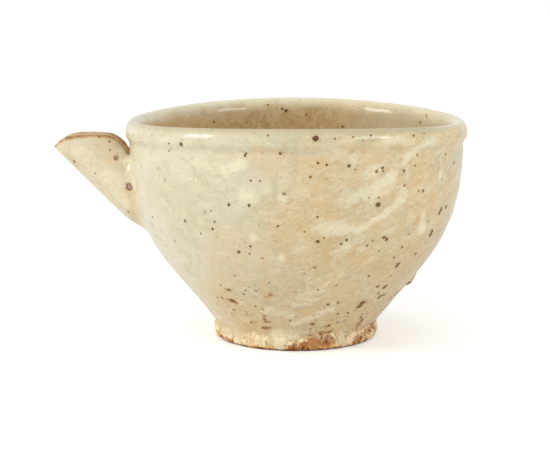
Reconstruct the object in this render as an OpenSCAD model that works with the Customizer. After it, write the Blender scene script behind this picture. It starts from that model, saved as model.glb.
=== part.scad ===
// Katakuchi: a wheel-thrown stoneware bowl with a folded clay spout luted to its wall.
// The origin is the centre of the foot's resting face, +Z is up, and the spout points to -X.
// The spout is drawn in a side view: u is the distance from the bowl's axis towards -X, and z is up.

/* [Bowl] */
// Height from the table to the top of the rim
height = 83; // [72:0.5:98]
// Outer diameter over the lip
rim_d = 125; // [112:1:145]
// Thickness of the rounded lip
lip_thick = 5; // [4:0.1:6.5]
// Drop from the top of the rim to the neck, where the wall is upright
neck_drop = 10; // [8:0.5:13]
// How far the neck lies inside the lip
neck_inset = 1.4; // [0.5:0.1:2.5]
// Thickness of the thrown wall
wall = 5.4; // [4:0.1:7]
// Thickness of the floor at its centre
floor_thick = 7; // [5:0.1:10]
// Angle at which the wall leaves the foot, above the horizontal
wall_angle = 53.5; // [48:0.5:60]
// Length over which the wall keeps close to that angle
wall_flare = 29.5; // [24:0.5:34]
// Length below the neck over which the wall turns upright
wall_rise = 37; // [30:0.5:42]

/* [Foot] */
// Outer diameter of the foot ring
foot_d = 61; // [54:0.5:68]
// Height of the foot ring
foot_h = 6; // [5.5:0.1:8]
// Width of the ring where it seats under the bowl
foot_w = 7; // [5.5:0.1:9]
// How far the base of the bowl reaches down inside the ring
foot_spigot = 0.9; // [0.5:0.1:1.2]
// How far the ring stands proud of the wall above it
foot_ledge = 0.6; // [0.4:0.05:1.2]
// Bevel on the ring's outer bottom edge
foot_bevel = 1.8; // [1:0.1:2.5]
// Draft of the ring's inner wall, from its seat to the table
foot_draft = 0.8; // [0.4:0.1:1.2]

/* [Spout] */
// Distance from the bowl's axis to the tip of the spout
spout_reach = 89; // [84:0.2:96]
// Drop from the rim to the tip
tip_drop = 12.9; // [11:0.1:15]
// Drop from the rim to the top of the side walls
crest_drop = 7.9; // [6:0.1:9]
// Distance from the bowl's axis to the highest point of the side walls
crest_reach = 75; // [72:0.5:78]
// Drop from the rim to where the back edge of a side wall meets the bowl
back_drop = 16; // [14:0.1:19]
// Drop from the rim to the heel, the lower end of the spout on the wall
heel_drop = 44.3; // [41:0.1:47]
// Slope of the keel, above the horizontal
keel_angle = 45; // [42:0.5:48]
// Slope of the heel, where the keel turns in to the wall
heel_angle = 26; // [18:1:32]
// Half width of the trough at the bowl
root_half_w = 14; // [11:0.1:16]
// Half width of the trough near the tip
tip_half_w = 5.2; // [4:0.1:7]
// Thickness of the clay
spout_wall = 3.8; // [3:0.1:4.5]
// Rounding of the free edge
edge_round = 0.8; // [0.4:0.1:1.2]
// How far the section closes at the bowl, as an angle from the keel
root_wrap = 150; // [130:1:158]
// How far the section closes at the tip, as an angle from the keel
tip_wrap = 100; // [90:1:115]
// Length of the rounded nose
nose_l = 5; // [3:0.2:8]
// Diameter of the pouring hole through the wall
hole_d = 15; // [10:0.5:16]

/* [Seam and glaze] */
// Width of the luting coil on the bowl and on the spout
seam_w = 4.6; // [3:0.1:5.5]
// Length of the bead of run glaze
bead_l = 9; // [6:0.5:12]
// Diameter of the bead
bead_d = 6.4; // [5:0.1:8]
// How far the bead stands out of the wall
bead_proud = 1.9; // [1:0.1:2.5]
// Height of the bead above the table
bead_z = 22.5; // [16:0.5:35]
// Direction of the bead round the bowl, from +X
bead_azimuth = -8; // [-60:1:60]

/* [Hidden] */
$fn = 96;

// Counts of steps along the curves
wall_steps = 28;
neck_steps = 6;
lip_steps = 12;
floor_steps = 10;
spout_steps = 20;
wrap_steps = 32;
seam_steps = 48;
fillet_steps = 4;
bead_rings = 5;
bead_sides = 20;
solve_steps = 26;

glaze_colour = [0.78, 0.72, 0.58];
clay_colour = [0.62, 0.43, 0.25];
run_colour = [0.66, 0.56, 0.38];

function mix(a, b, t) = a + (b - a) * t;
function along(angle) = [cos(angle), sin(angle)];
function bezier(p, t) = pow(1 - t, 3) * p[0] + 3 * pow(1 - t, 2) * t * p[1]
    + 3 * (1 - t) * t * t * p[2] + pow(t, 3) * p[3];
function slope(p, t) = 3 * pow(1 - t, 2) * (p[1] - p[0]) + 6 * (1 - t) * t * (p[2] - p[1])
    + 3 * t * t * (p[3] - p[2]);

// Bowl profile, as [radius, z]
rim_r = rim_d / 2;
lip_r = lip_thick / 2;
neck_z = height - neck_drop;
lip_z = height - lip_r;
neck = [rim_r - neck_inset, neck_z];
base = [foot_d / 2 - foot_ledge, foot_h];
outer_curve = [base, base + wall_flare * along(wall_angle), neck - [0, wall_rise], neck];
throat_pull = (lip_z - neck_z) / 3;
outer_neck = [neck, neck + [0, throat_pull], [rim_r, lip_z - throat_pull], [rim_r, lip_z]];
inner_lip = [rim_r - lip_thick, lip_z];
inner_neck_end = neck - [wall, 0];
inner_neck = [inner_lip, inner_lip - [0, throat_pull], inner_neck_end + [0, throat_pull], inner_neck_end];

// The inside follows the outer wall at the wall's thickness and runs out into a flat floor.
floor_start = 0.1;
function inside(t) =
    let (d = slope(outer_curve, t))
    bezier(outer_curve, t) + wall * [-d[1], d[0]] / norm(d);
floor_z = foot_h - foot_spigot + floor_thick;
floor_edge = inside(floor_start);
floor_way = slope(outer_curve, floor_start) / norm(slope(outer_curve, floor_start));
floor_pull = (floor_edge[1] - floor_z) / floor_way[1];
floor_curve = [floor_edge, floor_edge - floor_way * floor_pull * 0.75, [floor_edge[0] * 0.45, floor_z],
    [0, floor_z]];

outer_points = concat(
    [for (i = [0:wall_steps]) bezier(outer_curve, i / wall_steps)],
    [for (i = [1:neck_steps]) bezier(outer_neck, i / neck_steps)]);
lip_points = [for (i = [1:lip_steps - 1])
    [rim_r - lip_r, lip_z] + lip_r * along(180 * i / lip_steps)];
inner_points = concat(
    [for (i = [0:neck_steps]) bezier(inner_neck, i / neck_steps)],
    [for (i = [1:wall_steps]) inside(mix(1, floor_start, i / wall_steps))],
    [for (i = [1:floor_steps]) bezier(floor_curve, i / floor_steps)]);

// Radius of the outer wall at a height, found by halving
function wall_step(z, low = 0, high = 1, n = solve_steps) =
    let (t = (low + high) / 2)
    n == 0 ? t
    : bezier(outer_curve, t)[1] < z ? wall_step(z, t, high, n - 1) : wall_step(z, low, t, n - 1);
function wall_r(z) = bezier(outer_curve, wall_step(z))[0];

// Side view of the spout
tip_z = height - tip_drop;
crest_z = height - crest_drop - edge_round;
heel_z = height - heel_drop;
back_z = height - back_drop;
back_reach = wall_r(back_z);
heel_reach = wall_r(heel_z);
keel_blend = 1.5;
function keel(u) =
    let (front = tip_z - (spout_reach - u) * tan(keel_angle))
    let (heel = heel_z + (u - heel_reach) * tan(heel_angle))
    (front + heel + norm([front - heel, keel_blend])) / 2;
function crest(u) = u > crest_reach
    ? crest_z - (crest_z - tip_z) * pow((u - crest_reach) / (spout_reach - crest_reach), 3)
    : crest_z - (crest_z - back_z) * pow(min(1, (crest_reach - u) / (crest_reach - back_reach)), 4.5);
function along_spout(u) = (u - back_reach) / (spout_reach - back_reach);
function nose(u) = sqrt(max(0, 1 - pow(max(0, u - spout_reach + nose_l) / nose_l, 2)));
function half_width(u) = mix(root_half_w, tip_half_w, along_spout(u)) * nose(u);
function wrap(u) = mix(root_wrap, tip_wrap, along_spout(u));
keel_wall = spout_wall / cos(keel_angle);

// A point of the trough: side runs from -1 to 1 across it, and inset is 0 outside and 1 inside.
function trough(u, side, inset) =
    let (low = keel(u) + inset * keel_wall)
    let (rise = (crest(u) - low) / (1 - cos(wrap(u))))
    let (half = max(0.3, half_width(u) - inset * spout_wall * nose(u)))
    [-u, half * sin(side * wrap(u)), low + rise * (1 - cos(side * wrap(u)))];
function stands_off(p) = norm([p[0], p[1]]) - wall_r(p[2]);
function root_reach(side, inset, low = 0, high = spout_reach, n = solve_steps) =
    let (u = (low + high) / 2)
    n == 0 ? u
    : stands_off(trough(u, side, inset)) < 0 ? root_reach(side, inset, u, high, n - 1)
    : root_reach(side, inset, low, u, n - 1);

// The trough ends where its side walls have come down to the keel.
tip_left = 0.5;
function tip_reach(inset, low = crest_reach, high = spout_reach, n = solve_steps) =
    let (u = (low + high) / 2)
    n == 0 ? u
    : crest(u) - keel(u) - inset * keel_wall > tip_left ? tip_reach(inset, u, high, n - 1)
    : tip_reach(inset, low, u, n - 1);
outer_tip = tip_reach(0);
inner_tip = tip_reach(1);
function spout_u(side, inset, i) =
    mix(root_reach(side, inset), inset == 0 ? outer_tip : inner_tip, sin(90 * i / spout_steps));

// Middle of the pouring hole: halfway up the inside of the trough, where it meets the wall
hole_low = trough(root_reach(0, 1), 0, 1)[2];
hole_high = trough(root_reach(1, 1), 1, 1)[2];
hole_z = (hole_low + hole_high) / 2;

// Triangles between the rings of a closed loft; each end is closed by a strip across its ring.
function loft_faces(rings, n) = concat(
    [for (i = [0:rings - 2], k = [0:n - 1]) [i * n + k, (i + 1) * n + k, (i + 1) * n + (k + 1) % n]],
    [for (i = [0:rings - 2], k = [0:n - 1]) [i * n + k, (i + 1) * n + (k + 1) % n, i * n + (k + 1) % n]],
    end_faces(0, n, false),
    end_faces((rings - 1) * n, n, true));
function end_faces(first, n, turned) = [
    for (k = [0:n / 2 - 2])
        let (a = first + k)
        let (b = first + k + 1)
        let (c = first + n - 2 - k)
        let (d = first + (n - 1 - k) % n)
        for (f = c == b ? [[a, b, d]] : [[a, b, c], [a, c, d]])
            turned ? [f[2], f[1], f[0]] : f];

// One ring of the spout's loft: the outside, the rounded edge, the inside and the other edge.
// The rounding runs out at the tip, which is cut sharp so that it doesn't drip.
function spout_edge(i, side) =
    (trough(spout_u(side, 0, i), side, 0) + trough(spout_u(side, 1, i), side, 1)) / 2
    + [0, 0, edge_round * (1 - pow(i / spout_steps, 4))];
function spout_ring(i) = concat(
    [spout_edge(i, 1)],
    [for (k = [0:wrap_steps]) let (side = 1 - 2 * k / wrap_steps) trough(spout_u(side, 0, i), side, 0)],
    [spout_edge(i, -1)],
    [for (k = [wrap_steps:-1:0]) let (side = 1 - 2 * k / wrap_steps) trough(spout_u(side, 1, i), side, 1)]);

// The luting coil lies in the corner between the wall and the outside of the trough.
function seam_corner(side) = trough(root_reach(side, 0), side, 0);
function seam_size(side) = mix(0.4, seam_w, 1 - pow(abs(side), 6));
function unrolled(p) = [wall_r(p[2]) * atan2(p[1], -p[0]) * PI / 180, p[2]];
function on_wall(q) =
    let (r = wall_r(q[1]))
    let (angle = q[0] / r * 180 / PI)
    [-r * cos(angle), r * sin(angle), q[1]];
function seam_foot(side) =
    let (step = 0.01)
    let (d = unrolled(seam_corner(min(1, side + step))) - unrolled(seam_corner(max(-1, side - step))))
    on_wall(unrolled(seam_corner(side)) + seam_size(side) * [d[1], -d[0]] / norm(d));
function seam_ring(side) =
    let (corner = seam_corner(side))
    let (low = seam_foot(side))
    let (high = trough(root_reach(side, 0) + seam_size(side), side, 0))
    concat([corner], [for (k = [0:fillet_steps]) let (t = k / fillet_steps)
        pow(1 - t, 2) * low + 2 * t * (1 - t) * corner + t * t * high]);

// Glaze bead: a drop on the wall, longer than wide, thicker and rounder at its lower end
function wall_normal(z) =
    let (d = slope(outer_curve, wall_step(z)))
    [d[1], -d[0]] / norm(d);
function bead_point(ring, k) =
    let (angle = 360 * k / bead_sides)
    let (spread = ring / bead_rings)
    let (up = spread * cos(angle))
    let (z = bead_z + bead_l / 2 * up * wall_normal(bead_z)[0])
    let (across = bead_d / 2 * spread * sin(angle) * mix(1, 0.7, (up + 1) / 2))
    let (out = bead_proud * sqrt(1 - spread * spread) * mix(1, 0.6, (up + 1) / 2))
    let (n = wall_normal(z))
    let (turn = 180 - bead_azimuth + across / wall_r(z) * 180 / PI)
    let (r = wall_r(z) + out * n[0])
    [-r * cos(turn), r * sin(turn), z + out * n[1]];

module bowl() {
    color(glaze_colour)
    difference() {
        rotate_extrude()
        polygon(concat(
            [[0, foot_h - foot_spigot], [foot_d / 2 - foot_w, foot_h - foot_spigot],
                [foot_d / 2 - foot_w, foot_h]],
            outer_points, lip_points, inner_points));
        translate([-rim_r, 0, hole_z])
        rotate([0, 90, 0])
        cylinder(d = hole_d, h = rim_r - foot_d / 2);
    }
}

module foot_ring() {
    outer = foot_d / 2;
    inner = outer - foot_w;
    color(clay_colour)
    rotate_extrude()
    polygon([
        [inner, foot_h], [inner + foot_draft, foot_draft], [inner + 2 * foot_draft, 0],
        [outer - foot_bevel, 0], [outer - foot_bevel / 3, foot_bevel / 2], [outer, foot_bevel * 1.4],
        [outer, foot_h - foot_ledge], [outer - foot_ledge, foot_h]]);
}

module spout() {
    ring_n = 2 * (wrap_steps + 2);
    color(glaze_colour)
    polyhedron(
        points = [for (i = [0:spout_steps]) each spout_ring(i)],
        faces = loft_faces(spout_steps + 1, ring_n));
}

module spout_seam() {
    color(run_colour)
    polyhedron(
        points = [for (i = [0:seam_steps]) each seam_ring(2 * i / seam_steps - 1)],
        faces = loft_faces(seam_steps + 1, fillet_steps + 2));
}

module glaze_bead() {
    crown = bead_rings * bead_sides;
    color(run_colour)
    polyhedron(
        points = concat(
            [for (ring = [bead_rings:-1:1], k = [0:bead_sides - 1]) bead_point(ring, k)],
            [bead_point(0, 0), on_wall([wall_r(bead_z) * (180 - bead_azimuth) * PI / 180, bead_z])]),
        faces = concat(
            [for (i = [0:bead_rings - 2], k = [0:bead_sides - 1])
                each [[(i + 1) * bead_sides + (k + 1) % bead_sides, i * bead_sides + (k + 1) % bead_sides,
                        i * bead_sides + k],
                    [(i + 1) * bead_sides + k, (i + 1) * bead_sides + (k + 1) % bead_sides,
                        i * bead_sides + k]]],
            [for (k = [0:bead_sides - 1])
                [crown, crown - bead_sides + (k + 1) % bead_sides, crown - bead_sides + k]],
            [for (k = [0:bead_sides - 1]) [crown + 1, k, (k + 1) % bead_sides]]));
}

bowl();
foot_ring();
spout();
spout_seam();
glaze_bead();
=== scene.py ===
# %% [markdown]
# # A katakuchi in ash-glazed stoneware
# A katakuchi is a Japanese bowl with one spout, from which sake is poured. This one was thrown on the
# wheel, given a foot, a folded spout and a coil of soft clay to lute the spout on, and fired with a pale
# ash glaze over clay that is rich in iron. The CAD model holds the true sizes. Each piece is made again
# here, finer and with the small errors of the hand, in the same place, and gets its glaze from nodes.

# %% Load the frame
import math
from types import SimpleNamespace

import bpy
import numpy as np
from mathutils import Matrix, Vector
from mathutils.bvhtree import BVHTree


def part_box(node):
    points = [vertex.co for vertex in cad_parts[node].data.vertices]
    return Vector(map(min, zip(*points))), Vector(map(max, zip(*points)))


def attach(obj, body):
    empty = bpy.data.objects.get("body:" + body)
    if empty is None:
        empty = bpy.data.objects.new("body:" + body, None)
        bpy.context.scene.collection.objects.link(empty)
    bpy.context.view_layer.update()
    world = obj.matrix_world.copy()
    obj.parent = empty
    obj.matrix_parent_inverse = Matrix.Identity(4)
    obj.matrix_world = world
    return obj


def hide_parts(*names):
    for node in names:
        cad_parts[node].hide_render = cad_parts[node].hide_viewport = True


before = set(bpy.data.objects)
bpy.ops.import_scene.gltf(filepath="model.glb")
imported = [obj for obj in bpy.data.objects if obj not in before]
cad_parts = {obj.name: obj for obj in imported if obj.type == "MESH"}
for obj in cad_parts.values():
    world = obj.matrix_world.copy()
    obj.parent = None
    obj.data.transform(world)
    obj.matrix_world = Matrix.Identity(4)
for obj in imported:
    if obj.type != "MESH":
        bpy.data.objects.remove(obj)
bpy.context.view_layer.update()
scene = bpy.context.scene
MM = 0.001
print("CAD nodes:", ", ".join(sorted(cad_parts)))

# %% [markdown]
# ## The camera
# The rim's ellipse and the foot's curve tell where the photograph was taken from: about 0.6 m away, a
# little above the rim, with a long lens. The camera comes first, because the marks on the pot were read
# off the photograph, and their places are found again by sending rays from here.

# %% Camera
PHOTO_W, PHOTO_H = 550, 450
SENSOR_W = 36
focal_px = 1641
camera_place = Vector((-7.8, -600, 140.8)) * MM
camera_dip = math.radians(9.45)

camera_data = bpy.data.cameras.new("camera")
camera_data.sensor_fit = "HORIZONTAL"
camera_data.sensor_width = SENSOR_W
camera_data.lens = focal_px / PHOTO_W * SENSOR_W
camera = bpy.data.objects.new("camera", camera_data)
camera.location = camera_place
camera.rotation_euler = (math.pi / 2 - camera_dip, 0, 0)
scene.collection.objects.link(camera)
scene.camera = camera
print(f"Camera with a {camera_data.lens:.0f} mm lens")

# %% [markdown]
# ## Wires
# A node tree is a formula drawn with boxes. Written out node by node it hides that formula, so this small
# class lets sums and products of outputs read as sums and products, and adds the nodes by itself. It
# serves the shaders and the Geometry Nodes alike.

# %% Wires: formulas for node trees
class Wire:
    """An output of a node. Sums and products of wires add the nodes that work them out."""

    def __init__(self, socket):
        self.socket = socket
        self.tree = socket.id_data

    def also(self, name):
        """Another output of the same node."""
        return Wire(self.socket.node.outputs[name])

    def __add__(self, other):
        return maths("ADD", self, other)

    def __sub__(self, other):
        return maths("SUBTRACT", self, other)

    def __rsub__(self, other):
        return maths("SUBTRACT", other, self)

    def __mul__(self, other):
        return maths("MULTIPLY", self, other)

    def __truediv__(self, other):
        return maths("DIVIDE", self, other)

    def __rtruediv__(self, other):
        return maths("DIVIDE", other, self)

    def smooth(self, low, high, start=0.0, end=1.0):
        """A soft step: start up to low, end from high on."""
        feeds = {"Value": self, "From Min": low, "From Max": high, "To Min": start, "To Max": end}
        return put(self.tree, "ShaderNodeMapRange", feeds, interpolation_type="SMOOTHSTEP")


def feed(node, feeds):
    """Fills inputs of a node with wires or plain values."""
    for name, value in feeds.items():
        if isinstance(value, Wire):
            value.tree.links.new(value.socket, node.inputs[name])
        else:
            node.inputs[name].default_value = value


def put(tree, kind, feeds, out=0, **settings):
    """Adds a node, fills its inputs, and gives the wire of one output."""
    node = tree.nodes.new(kind)
    for name, value in settings.items():
        setattr(node, name, value)
    feed(node, feeds)
    return Wire(node.outputs[out])


def tree_of(feeds):
    return next(f.tree for f in feeds if isinstance(f, Wire))


def maths(operation, *feeds):
    return put(tree_of(feeds), "ShaderNodeMath", dict(enumerate(feeds)), operation=operation)


def vectors(operation, *feeds, out="Vector"):
    return put(tree_of(feeds), "ShaderNodeVectorMath", dict(enumerate(feeds)), out, operation=operation)


def split(vector):
    """The three parts of a vector."""
    parts = put(vector.tree, "ShaderNodeSeparateXYZ", {0: vector})
    return parts.also("X"), parts.also("Y"), parts.also("Z")


def join(x, y, z):
    return put(tree_of((x, y, z)), "ShaderNodeCombineXYZ", {"X": x, "Y": y, "Z": z})


def noise(place, size, detail=2.0, roughness=0.5, distortion=0.0):
    """Noise with lumps of about this size, from 0 to 1 and mostly near a half."""
    feeds = {"Vector": place, "Scale": 1 / size, "Detail": detail, "Roughness": roughness,
             "Distortion": distortion}
    return put(place.tree, "ShaderNodeTexNoise", feeds, "Fac")


def blend(share, first, second):
    """Goes from the first colour to the second. The node's colour sockets are told apart by number."""
    feeds = {0: share, 6: first, 7: second}
    return put(tree_of((share, first, second)), "ShaderNodeMix", feeds, 2, data_type="RGBA")


def rgb(red, green, blue):
    """A colour as a picture program shows it, from 0 to 255, made linear."""
    shares = (channel / 255 for channel in (red, green, blue))
    return (*(s / 12.92 if s <= 0.04045 else ((s + 0.055) / 1.055) ** 2.4 for s in shares), 1)


def new_material(name):
    material = bpy.data.materials.new(name)
    material.use_nodes = True
    return material


# %% [markdown]
# ## Floor and light
# The pot stands in a light tent: a white table, white all round, a window on its left and a flatter,
# weaker soft box on its right, which draw the two highlights along the lip. The table is a plain white
# floor. Seen by the camera it glows a little, so that it runs into the white background. Close to the
# pot it glows less, which paints a soft shadow round the foot on the table and lets its real shadow show.

# %% World and floor
white = (1, 1, 1, 1)
tent_light = 0.6
table_white = rgb(244, 244, 244)
table_glow = 0.435
table_mirrored = 0.4
# Less glow close to the pot: a painted shadow round the foot.
shade_glow = 0.345
shade_r = 0.03
open_r = 0.065
floor_half = 3.0

scene.view_settings.view_transform = "Standard"
world = bpy.data.worlds.new("light_tent")
world.use_nodes = True
scene.world = world


def seen_directly(tree, mirrored):
    """1 for rays that show a surface straight to the camera, and a share of 1 where it is mirrored."""
    ray = put(tree, "ShaderNodeLightPath", {}, "Is Camera Ray")
    return maths("MAXIMUM", ray, ray.also("Is Glossy Ray") * mirrored)


tent = world.node_tree
tent_shine = seen_directly(tent, 1.0).smooth(0, 1, tent_light, 1.0)
feed(tent.nodes["Background"], {"Color": white, "Strength": tent_shine})

floor_mesh = bpy.data.meshes.new("table")
corners = [(x * floor_half, y * floor_half, 0) for x, y in ((-1, -1), (1, -1), (1, 1), (-1, 1))]
floor_mesh.from_pydata(corners, [], [(0, 1, 2, 3)])
floor = bpy.data.objects.new("table", floor_mesh)
scene.collection.objects.link(floor)

floor_paint = new_material("white_table")
floor_mesh.materials.append(floor_paint)
table = floor_paint.node_tree
from_pot = vectors("LENGTH", put(table, "ShaderNodeTexCoord", {}, "Object"), out="Value")
# The glow drops close to the pot, which paints a soft shadow round the foot on the table.
glow = seen_directly(table, table_mirrored) * from_pot.smooth(shade_r, open_r, shade_glow, table_glow)
feed(table.nodes["Principled BSDF"], {
    "Base Color": table_white, "Roughness": 0.9, "Specular IOR Level": 0.1, "Emission Color": white,
    "Emission Strength": glow})
print(f"White table, {2 * floor_half} m wide, in a tent of strength {tent_light}")

# %% Lamps
aim = Vector((0, 0, 45)) * MM


def soft_box(name, azimuth, elevation, distance, width, tall, power):
    """A rectangular lamp that faces the pot. Azimuth 0 is on the camera's side, and grows to the right."""
    turn, lift = math.radians(azimuth), math.radians(elevation)
    way = Vector((math.sin(turn) * math.cos(lift), -math.cos(turn) * math.cos(lift), math.sin(lift)))
    lamp_data = bpy.data.lights.new(name, "AREA")
    lamp_data.shape = "RECTANGLE"
    lamp_data.size = width
    lamp_data.size_y = tall
    lamp_data.energy = power
    lamp = bpy.data.objects.new(name, lamp_data)
    lamp.location = aim + way * distance
    lamp.rotation_euler = (-way).to_track_quat("-Z", "Y").to_euler()
    scene.collection.objects.link(lamp)
    print(f"{name}: {power} W at azimuth {azimuth}, elevation {elevation}")


soft_box("window", azimuth=-71, elevation=24, distance=1.1, width=0.42, tall=0.3, power=5.0)
soft_box("right_box", azimuth=52, elevation=20, distance=1.1, width=0.5, tall=0.2, power=2.7)

# %% [markdown]
# ## The glaze
# Ash glaze is a thin, uneven glass. Where it is thick it is cream and a little green, where it is thin
# the clay warms it to peach, and iron in the clay bursts through it in brown specks. It is one coat over
# bowl, seam and spout, so it is one set of nodes on Object coordinates: every piece sits at the origin,
# and the clouds of colour run on from one to the next. What has its own place, such as a brush stroke of
# slip or a large speck, comes as an attribute of the mesh. A smooth skin of glass over it all, the
# shader's coat, draws the highlights.

# %% Colours of the glaze and the clay
pale_ash = rgb(224, 215, 187)
warm_ash = rgb(224, 202, 154)
green_ash = rgb(205, 197, 158)
peach = rgb(230, 194, 140)
sand = rgb(198, 166, 114)
low_ash = rgb(216, 191, 145)
slip_cream = rgb(247, 237, 202)
lip_ash = rgb(202, 190, 150)
inside_ash = rgb(180, 148, 96)
inside_pale = rgb(204, 178, 130)
# The two colours below are painted sheen on the left and right of the inside.
inside_left_sheen = rgb(218, 188, 140)
inside_right_sheen = rgb(208, 196, 164)
hollow_tan = rgb(214, 172, 108)
edge_brown = rgb(148, 86, 4)
iron_brown = rgb(106, 76, 20)
iron_deep = rgb(78, 46, 0)
iron_rust = rgb(138, 82, 2)
iron_red = rgb(98, 42, 16)
iron_stain = rgb(134, 68, 20)
blister_ring = rgb(112, 66, 36)
blister_pale = rgb(186, 152, 138)
clay_rust = rgb(150, 86, 46)
clay_warm = rgb(188, 124, 74)
clay_orange = rgb(226, 154, 58)
clay_tan = rgb(228, 194, 138)
clay_cream = rgb(250, 234, 196)
clay_dark = rgb(84, 46, 20)

# %% Marks on the glaze
IRON, BLISTER, RUST, RED = range(4)
fine_rarity = 5.0
fine_blur = 0.2
ragged_size = 0.8
to_mm = (1 / MM, 1 / MM, 1 / MM)


def attribute(tree, name, out="Fac"):
    return put(tree, "ShaderNodeAttribute", {}, out, attribute_name=name)


def in_millimetres(tree):
    """The place on the pot, in millimetres."""
    return vectors("MULTIPLY", put(tree, "ShaderNodeTexCoord", {}, "Object"), to_mm)


def fine_specks(place, cell, largest):
    """Small specks, at most one in each cell: a mask, and a number that differs from speck to speck."""
    dots = put(place.tree, "ShaderNodeTexVoronoi", {"Vector": place, "Scale": 1 / cell}, "Distance")
    chance = put(place.tree, "ShaderNodeSeparateColor", {0: dots.also("Color")})
    reach = maths("POWER", chance.also("Red"), fine_rarity) * largest
    return (reach - dots * cell).smooth(0, fine_blur), chance.also("Green")


def large_speck(place):
    """The nearest large speck: how far from its middle, as a share of its radius, and what kind it is."""
    tree = place.tree
    centre = vectors("MULTIPLY", attribute(tree, "speck_place", "Vector"), to_mm)
    ragged = (noise(place, ragged_size) - 0.5) * 0.8
    far = vectors("DISTANCE", place, centre, out="Value")
    return far * MM / attribute(tree, "speck_radius") + ragged, attribute(tree, "speck_kind")


# %% Brush marks
brush_angle = math.radians(28)
brush_r = 50
brush_stretch = 4


def brush_marks(place):
    """Noise drawn out along the way the brush went round the pot, up to the right."""
    x, y, z = split(place)
    round_pot = maths("ARCTAN2", x, 0 - y) * brush_r
    along = round_pot * math.cos(brush_angle) + z * math.sin(brush_angle)
    over = z * math.cos(brush_angle) - round_pot * math.sin(brush_angle)
    return noise(join(along / brush_stretch, over, 0.0), 4.5, 3.0, 0.6, 0.3)


# %% What the glaze is mixed from
marks_read = ("inner", "blush", "warm", "slip", "hollow", "edge", "rust")


def patterns(tree):
    """Places, noises and marks, as wires. Warmth is the slow turn from cream to peach, left to right."""
    place = in_millimetres(tree)
    x, y, z = split(place)
    clouds = noise(place, 32, 3.0, 0.55, 0.3)
    return SimpleNamespace(
        place=place, x=x, y=y, z=z, clouds=clouds,
        warmth=(x + z.smooth(12, 45, 22, 0) + (clouds - 0.5) * 100).smooth(-40, 35),
        mottle=noise(place, 9, 3.0, 0.55, 0.6),
        curds=noise(vectors("ADD", place, (0, 0, 90)), 4.5, 3.0, 0.6, 0.5),
        wiped=noise(vectors("MULTIPLY", place, (1, 1, 3.5)), 9, 3.0, 0.6),
        brush=brush_marks(place),
        flecks=noise(vectors("MULTIPLY", place, (1, 1, 1.6)), 1.7, 2.0, 0.65),
        grain=noise(place, 0.7, 2.0, 0.6),
        **{name: attribute(tree, name) for name in marks_read})


# %% The coat and the slip
def ash_coat(p):
    """The coat before any mark: mottled, thinner low down with painted shade towards the right, streaked
    by the brush and broken by flecks.
    """
    colour = blend(p.warmth, pale_ash, warm_ash)
    greened = p.blush.smooth(-1, 0, 1, 0) * p.curds.smooth(0.2, 0.6)
    colour = blend(maths("MAXIMUM", p.mottle.smooth(0.48, 0.66) * 0.6, greened), colour, green_ash)
    colour = blend(p.mottle.smooth(0.32, 0.5, 0.6, 0) * p.warmth, colour, peach)
    colour = blend(p.wiped.smooth(0.52, 0.7) * 0.3, colour, slip_cream)
    blushed = maths("MAXIMUM", p.blush, p.warm)
    colour = blend(blushed * p.curds.smooth(0.2, 0.6) * 0.85, colour, peach)
    # Darker and sandier low down, where the glaze runs thin, and towards the right: the turn to the right is
    # painted shade.
    thin_and_shaded = (p.z - p.x * 0.4 + (p.mottle - 0.5) * 30).smooth(10, 45, 1, 0)
    colour = blend(thin_and_shaded * p.curds.smooth(0.3, 0.55) * 0.8, colour, low_ash)
    colour = blend(thin_and_shaded * p.x.smooth(15, 50, 0, 0.25), colour, sand)
    colour = blend(p.curds.smooth(0.5, 0.7) * p.z.smooth(12, 40, 0.65, 0.4), colour, slip_cream)
    streaked = p.warmth * p.z.smooth(22, 50, 0.3, 1)
    colour = blend(p.brush.smooth(0.52, 0.68) * streaked * 0.4, colour, slip_cream)
    colour = blend(p.brush.smooth(0.34, 0.46, 0.3, 0) * streaked, colour, sand)
    broken = (p.curds + (p.warmth - 0.5) * 0.1).smooth(0.35, 0.6)
    colour = blend(p.flecks.smooth(0.32, 0.46, 0.5, 0) * broken, colour, sand)
    return blend(p.flecks.smooth(0.55, 0.7, 0, 0.5) * broken, colour, slip_cream)


def brushed_slip(p):
    """How thick the slip lies: the strokes, broken up by lumps and by the hairs of the brush."""
    slip = p.slip + (p.curds - 0.5) * 0.9 + (p.brush - 0.5) * 1.1 + (p.flecks - 0.5) * 0.6
    return slip.smooth(0.15, 1.1) * p.slip.smooth(0, 0.4)


# %% The lip, the inside and the worn edge
def lip_and_inside(p, colour):
    """The lip, greyer on the near side and cream on the far one with painted light, and the inside of the
    bowl, darker below the rim, lightened by painted sheen at its left and right.
    """
    near_lip = p.inner.smooth(0.15, 0.4) * p.y.smooth(-10, 20, 1, 0)
    colour = blend(near_lip * p.warmth.smooth(0, 1, 0.8, 0.95), colour, lip_ash)
    on_lip = p.inner.smooth(0.2, 0.45) * p.inner.smooth(0.5, 0.65, 1, 0)
    # Cream on the far crest and at the lip's right end is painted light: light on the crest, and the white
    # surroundings mirrored at the end.
    far_lip_painted_light = on_lip * maths("MAXIMUM", p.y.smooth(0, 30), p.x.smooth(40, 58))
    colour = blend(far_lip_painted_light * 0.7, colour, slip_cream)
    inside_with_sheen = blend((p.curds * 0.6 + p.flecks * 0.4).smooth(0.38, 0.64), inside_ash, inside_pale)
    # Lighter colour on the left and right of the inside is painted sheen: the white surroundings mirrored
    # where the wall is seen edge on.
    inside_with_sheen = blend(p.x.smooth(-55, -15, 0.7, 0), inside_with_sheen, inside_left_sheen)
    inside_with_sheen = blend(p.x.smooth(5, 50, 0, 0.8), inside_with_sheen, inside_right_sheen)
    return blend((p.inner + (p.mottle - 0.5) * 0.2).smooth(0.5, 0.7, 0, 0.92), colour, inside_with_sheen)


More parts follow.
